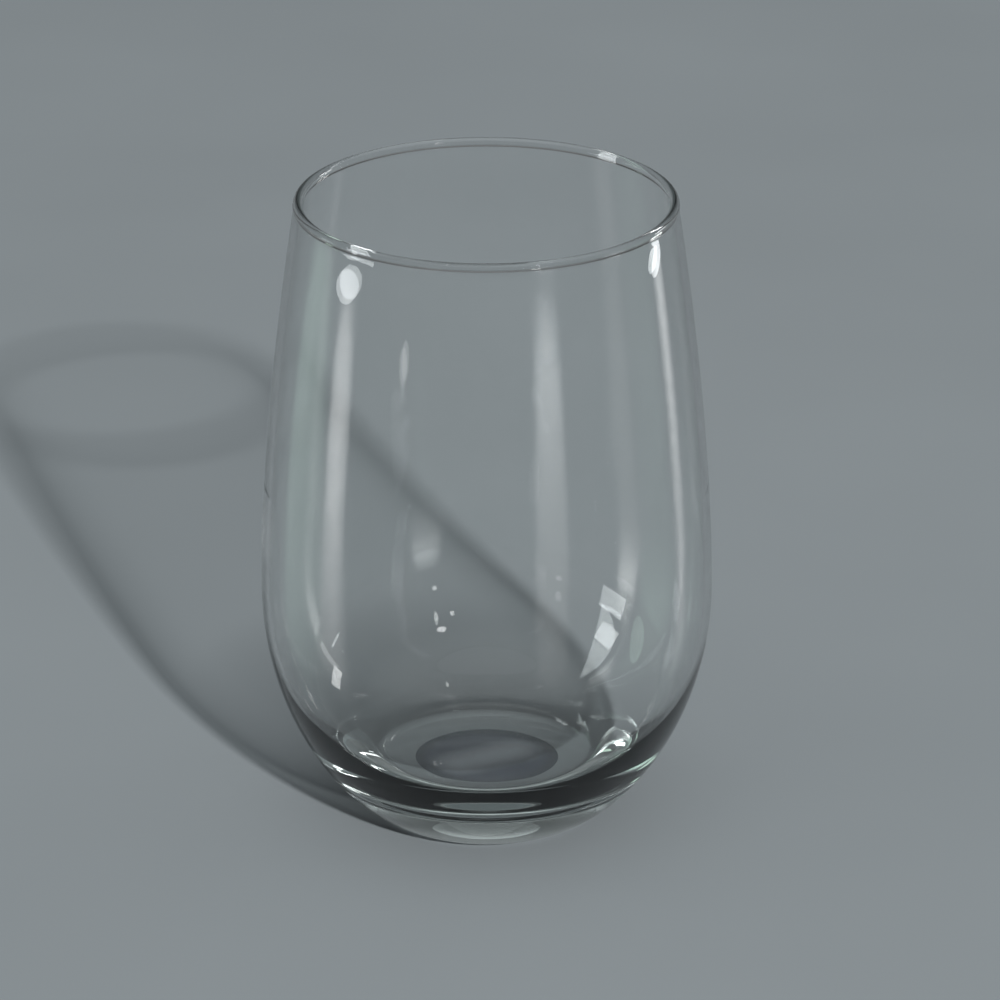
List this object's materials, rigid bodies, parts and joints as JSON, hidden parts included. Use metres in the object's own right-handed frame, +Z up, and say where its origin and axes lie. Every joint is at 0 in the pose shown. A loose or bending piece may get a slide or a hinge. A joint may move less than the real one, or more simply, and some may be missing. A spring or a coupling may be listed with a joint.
{
  "type": "drinking glass",
  "caption": "Stemless clear drinking glass with an egg-shaped bowl, a beaded rim, a thick rounded base and a shallow hollow under the foot.",
  "frame": {"origin": "centre of the face that the glass stands on", "axes": "+Z up along the axis of the glass, X and Y alike because it is round"},
  "size_m": [0.0863, 0.0862, 0.1237],
  "materials": {
    "clear_glass": "clear, polished"
  },
  "bodies": {
    "root": {"tumbler": "clear_glass"}
  },
  "joints": []
}
